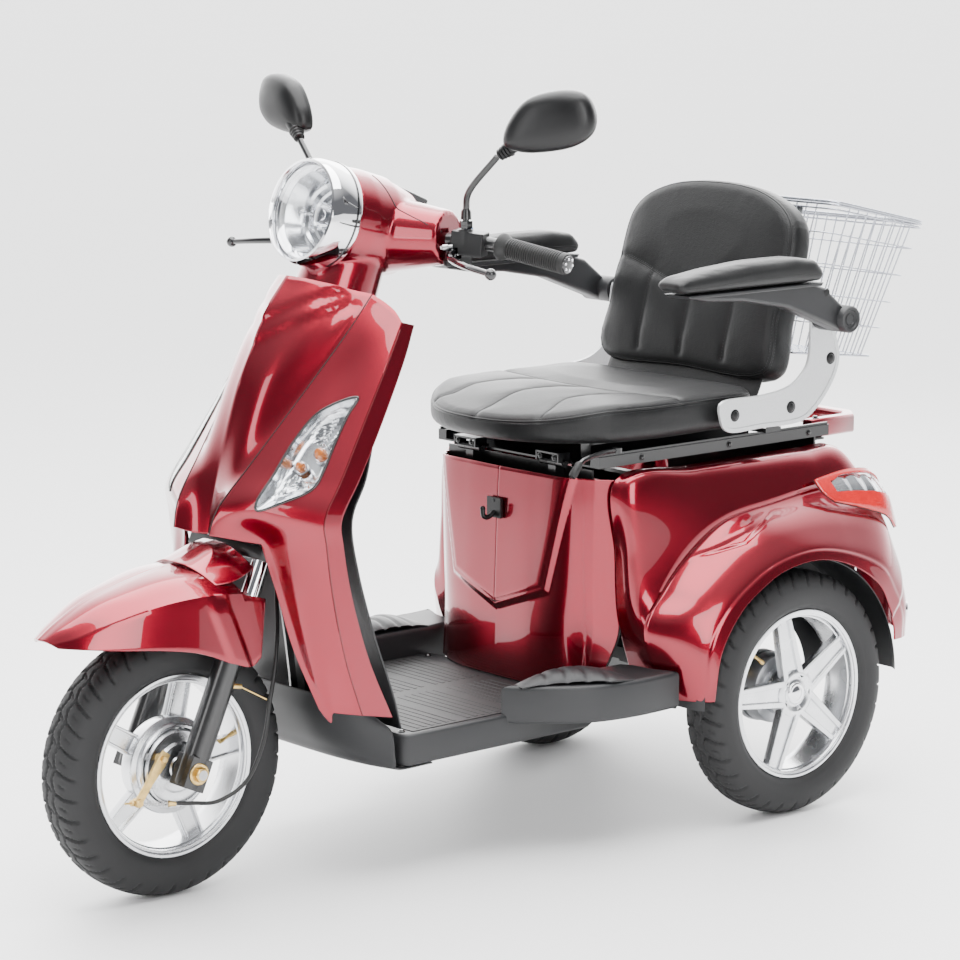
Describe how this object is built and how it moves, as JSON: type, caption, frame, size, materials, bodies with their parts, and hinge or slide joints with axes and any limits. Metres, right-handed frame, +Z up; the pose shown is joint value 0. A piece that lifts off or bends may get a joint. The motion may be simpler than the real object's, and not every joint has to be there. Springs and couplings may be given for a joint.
{
  "type": "mobility scooter",
  "caption": "Seated mobility scooter with a steered front wheel, driven rear wheels, padded seat with armrests, wire basket, mirrors and lights.",
  "frame": {"origin": "on the ground under the middle of the overall length and width", "axes": "+X forward, +Y to the rider's left, +Z up"},
  "size_m": [1.7017, 0.7791, 1.2219],
  "materials": {
    "candy_red": "candy red, gloss lacquer",
    "black_plastic": "satin black",
    "charcoal_plastic": "fine grained charcoal",
    "black_steel": "black powder coat",
    "tyre": "matte black",
    "grip_rubber": "ribbed, matte",
    "cast_alloy": "cast and lacquered",
    "bare_steel": "machined",
    "chrome": "polished",
    "silver_paint": "silver paint",
    "white_wire": "pale silver coated wire",
    "black_leather": "fine grained, stitched",
    "clear_lens": "clear, prismatic inside",
    "red_lens": "red and clear lens",
    "display_face": "dark glossy display",
    "zinc_gold": "zinc plated",
    "blue_button": "blue",
    "cable_sheath": "satin black"
  },
  "bodies": {
    "chassis": {"main_frame": "black_steel", "leg_shield": "candy_red", "knee_panel": "charcoal_plastic", "belly_cover": "charcoal_plastic", "footboard": "charcoal_plastic", "left_indicator": "clear_lens", "right_indicator": "clear_lens", "seat_box_cover": "candy_red", "left_rear_fender": "candy_red", "right_rear_fender": "candy_red", "rear_body_panel": "candy_red", "battery_pack": "black_plastic", "left_taillight": "red_lens", "right_taillight": "red_lens", "rear_shock_bridge": "black_steel", "bag_hook": "black_plastic", "rear_grab_rail": "candy_red"},
    "rear_axle": {"rear_axle_housing": "black_steel"},
    "left_rear_wheel": {"left_rear_tyre": "tyre", "left_rear_rim": "cast_alloy"},
    "right_rear_wheel": {"right_rear_tyre": "tyre", "right_rear_rim": "cast_alloy"},
    "seat_platform": {"seat_platform": "black_steel"},
    "seat": {"seat_slider_frame": "black_steel", "seat_cushion": "black_leather", "backrest_cushion": "black_leather", "left_seat_bracket": "silver_paint", "right_seat_bracket": "silver_paint"},
    "seat_lever": {"seat_adjust_lever": "black_steel"},
    "left_armrest": {"left_armrest_arm": "charcoal_plastic", "left_armrest_pad": "black_leather"},
    "right_armrest": {"right_armrest_arm": "charcoal_plastic", "right_armrest_pad": "black_leather"},
    "basket": {"basket": "white_wire"},
    "steering": {"fork_crown": "chrome", "handlebar": "black_steel", "handlebar_cowl": "candy_red", "headlight_bezel": "chrome", "headlight_lens": "clear_lens", "instrument_display": "display_face", "left_grip": "grip_rubber", "left_switch_housing": "black_plastic", "right_switch_housing": "black_plastic", "front_fender": "candy_red"},
    "throttle": {"throttle_grip": "grip_rubber"},
    "left_brake_lever": {"left_brake_lever": "black_steel"},
    "right_brake_lever": {"right_brake_lever": "black_steel"},
    "left_mirror_stem": {"left_mirror_stem": "black_steel"},
    "right_mirror_stem": {"right_mirror_stem": "black_steel"},
    "left_mirror_head": {"left_mirror_head": "black_plastic"},
    "right_mirror_head": {"right_mirror_head": "black_plastic"},
    "fork_lower": {"left_fork_slider": "black_steel", "right_fork_slider": "black_steel", "front_axle": "bare_steel", "front_brake_cable": "cable_sheath"},
    "front_brake_arm": {"front_brake_arm": "zinc_gold"},
    "front_wheel": {"front_tyre": "tyre", "front_rim": "cast_alloy"},
    "horn_button": {"horn_button": "blue_button"},
    "ignition_key": {"ignition_key": "bare_steel"}
  },
  "joints": [
    {"name": "steering", "type": "hinge", "parent": "chassis", "child": "steering", "pos_m": [0.60452, 0, 0.19361], "axis": [-0.4067, 0, 0.9135], "range_deg": [-30, 30]},
    {"name": "fork_travel", "type": "slide", "parent": "steering", "child": "fork_lower", "axis": [-0.4067, 0, 0.9135], "range_m": [0, 0.03], "stiffness_N_per_m": 12000, "springref_m": -0.03},
    {"name": "front_wheel_spin", "type": "hinge", "parent": "fork_lower", "child": "front_wheel", "pos_m": [0.6301, 0, 0.205], "axis": [0, 1, 0], "continuous": true},
    {"name": "front_brake_arm", "type": "hinge", "parent": "fork_lower", "child": "front_brake_arm", "pos_m": [0.6701, 0.054, 0.228], "axis": [0, 1, 0], "range_deg": [0, 12]},
    {"name": "rear_axle_travel", "type": "slide", "parent": "chassis", "child": "rear_axle", "axis": [0, 0, 1], "range_m": [0, 0.025], "stiffness_N_per_m": 30000, "springref_m": -0.03},
    {"name": "left_rear_wheel_spin", "type": "hinge", "parent": "rear_axle", "child": "left_rear_wheel", "pos_m": [-0.4229, 0.298, 0.205], "axis": [0, 1, 0], "continuous": true},
    {"name": "right_rear_wheel_spin", "type": "hinge", "parent": "rear_axle", "child": "right_rear_wheel", "pos_m": [-0.4229, -0.298, 0.205], "axis": [0, 1, 0], "continuous": true},
    {"name": "seat_tilt", "type": "hinge", "parent": "chassis", "child": "seat_platform", "pos_m": [-0.0779, 0, 0.606], "axis": [0, 1, 0], "range_deg": [0, 40]},
    {"name": "seat_slide", "type": "slide", "parent": "seat_platform", "child": "seat", "axis": [1, 0, 0], "range_m": [-0.06, 0.04]},
    {"name": "seat_lever", "type": "hinge", "parent": "seat", "child": "seat_lever", "pos_m": [-0.1229, 0.2055, 0.632], "axis": [0, 0, 1], "range_deg": [0, 20], "stiffness_Nm_per_rad": 0.6, "springref_deg": -17.19},
    {"name": "left_armrest_lift", "type": "hinge", "parent": "seat", "child": "left_armrest", "pos_m": [-0.5429, 0.292, 0.82], "axis": [0, -1, 0], "range_deg": [0, 100]},
    {"name": "right_armrest_lift", "type": "hinge", "parent": "seat", "child": "right_armrest", "pos_m": [-0.5429, -0.292, 0.82], "axis": [0, -1, 0], "range_deg": [0, 100]},
    {"name": "basket_lift", "type": "slide", "parent": "seat", "child": "basket", "axis": [-0.2672, 0, 0.9636], "range_m": [0, 0.25]},
    {"name": "throttle_twist", "type": "hinge", "parent": "steering", "child": "throttle", "pos_m": [0.1256, -0.207, 0.9768], "axis": [-0.2117, -0.9644, -0.1584], "range_deg": [0, 60], "stiffness_Nm_per_rad": 0.3, "springref_deg": -11.46},
    {"name": "left_brake_lever", "type": "hinge", "parent": "steering", "child": "left_brake_lever", "pos_m": [0.1771, 0.152, 0.966], "axis": [0, 0, 1], "range_deg": [0, 16], "stiffness_Nm_per_rad": 3, "springref_deg": -11.46},
    {"name": "right_brake_lever", "type": "hinge", "parent": "steering", "child": "right_brake_lever", "pos_m": [0.1771, -0.152, 0.966], "axis": [0, 0, -1], "range_deg": [0, 16], "stiffness_Nm_per_rad": 3, "springref_deg": -11.46},
    {"name": "left_mirror_swing", "type": "hinge", "parent": "steering", "child": "left_mirror_stem", "pos_m": [0.1671, 0.172, 0.992], "axis": [0, 0, 1], "range_deg": [-20, 20]},
    {"name": "left_mirror_aim", "type": "hinge", "parent": "left_mirror_stem", "child": "left_mirror_head", "pos_m": [0.1671, 0.244, 1.118], "axis": [0, 0, 1], "range_deg": [-12, 12]},
    {"name": "right_mirror_swing", "type": "hinge", "parent": "steering", "child": "right_mirror_stem", "pos_m": [0.1671, -0.172, 0.992], "axis": [0, 0, 1], "range_deg": [-20, 20]},
    {"name": "right_mirror_aim", "type": "hinge", "parent": "right_mirror_stem", "child": "right_mirror_head", "pos_m": [0.1671, -0.244, 1.118], "axis": [0, 0, 1], "range_deg": [-12, 12]},
    {"name": "horn_button_press", "type": "slide", "parent": "steering", "child": "horn_button", "axis": [0, 0, -1], "range_m": [0, 0.0015], "stiffness_N_per_m": 800, "springref_m": -0.001},
    {"name": "ignition_key_turn", "type": "hinge", "parent": "chassis", "child": "ignition_key", "pos_m": [0.2706, 0.045, 0.84], "axis": [-0.9792, 0, -0.203], "range_deg": [0, 90]}
  ],
  "couplings": [
    {"joint": "front_brake_arm", "follows": "right_brake_lever", "ratio": 0.75}
  ]
}
